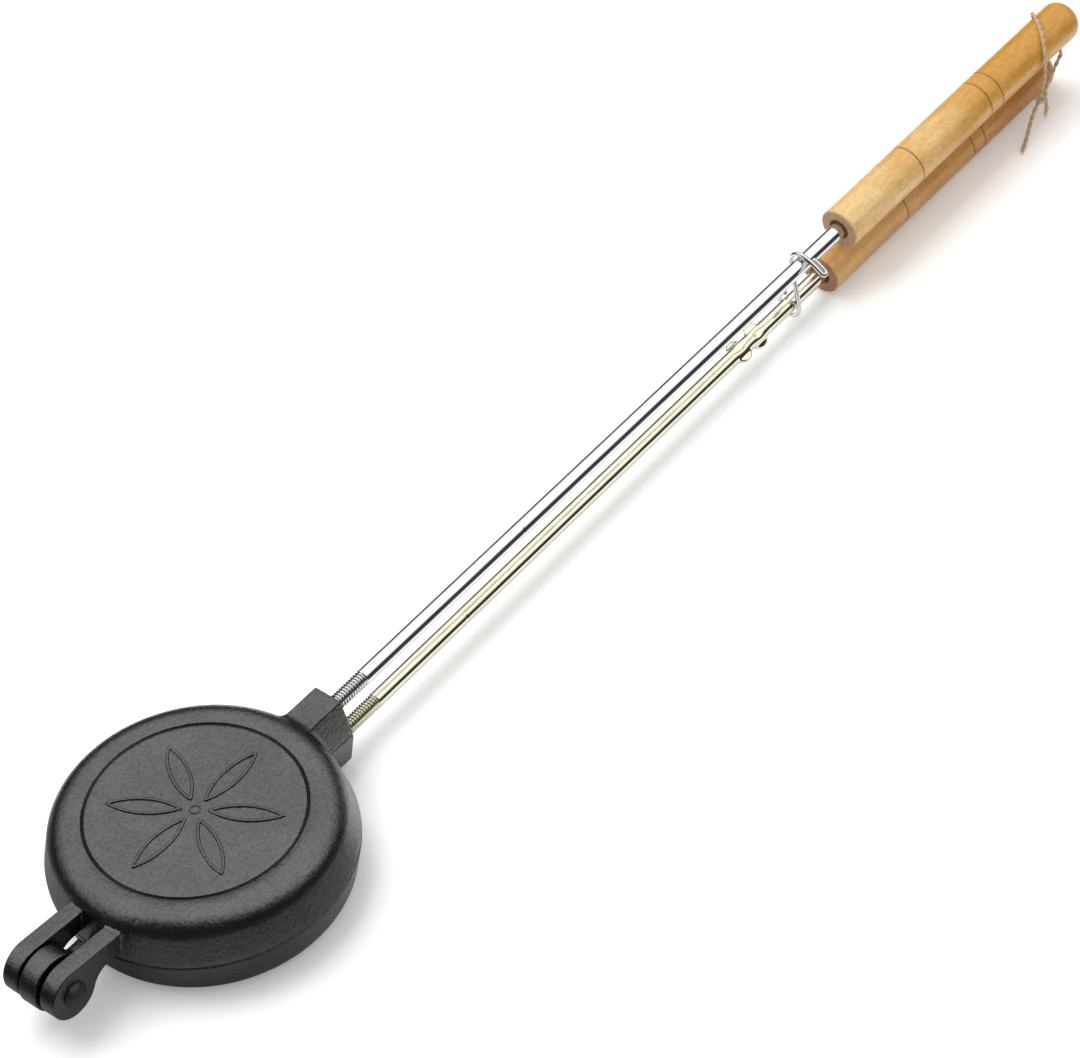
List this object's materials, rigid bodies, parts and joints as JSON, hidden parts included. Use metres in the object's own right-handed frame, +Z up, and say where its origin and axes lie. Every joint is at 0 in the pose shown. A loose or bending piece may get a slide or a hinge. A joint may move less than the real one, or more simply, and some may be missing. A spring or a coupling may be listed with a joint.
{
  "type": "round pie iron",
  "caption": "Round campfire pie iron: cast iron dishes on a riveted hinge, long steel rods, turned wooden handles, wire latch and twine hanging loop.",
  "frame": {"origin": "middle of the round head, on the flat outer face of the lower dish that the object rests on", "axes": "+Z up out of the rest face, +X along the rods from the head towards the handles, +Y to the left when looking along +X"},
  "size_m": [0.5963, 0.1124, 0.042],
  "materials": {
    "cast_iron": "seasoned sand-cast iron, dark grey-black, fine satin grain",
    "rivet_steel": "blackened steel, hammered dome",
    "zinc_upper_rod": "bright zinc plate, slightly blue",
    "zinc_lower_rod": "bright zinc plate, slightly yellow",
    "stained_wood": "turned hardwood, thin honey stain, burnt lines",
    "bright_wire": "bright plated spring wire",
    "twine": "two-ply natural jute twine"
  },
  "bodies": {
    "lower": {"lower_iron": "cast_iron", "lower_rod": "zinc_lower_rod", "lower_handle": "stained_wood"},
    "upper": {"upper_iron": "cast_iron", "hinge_rivet": "rivet_steel", "upper_rod": "zinc_upper_rod", "upper_handle": "stained_wood", "twine_long": "twine", "twine_short": "twine", "twine_knot": "twine"},
    "latch": {"latch_wire": "bright_wire"}
  },
  "joints": [
    {"name": "head_hinge", "type": "hinge", "parent": "lower", "child": "upper", "pos_m": [-0.077, 0, 0.0226], "axis": [0, -1, 0], "range_deg": [0, 180]},
    {"name": "latch_swing", "type": "hinge", "parent": "lower", "child": "latch", "pos_m": [0.33455, 0.00478, 0.00949], "axis": [-0.9998, -0.018, 0.004], "range_deg": [0, 100]}
  ],
  "couplings": [
    {"joint": "latch_swing", "follows": "head_hinge", "ratio": 0.555}
  ]
}
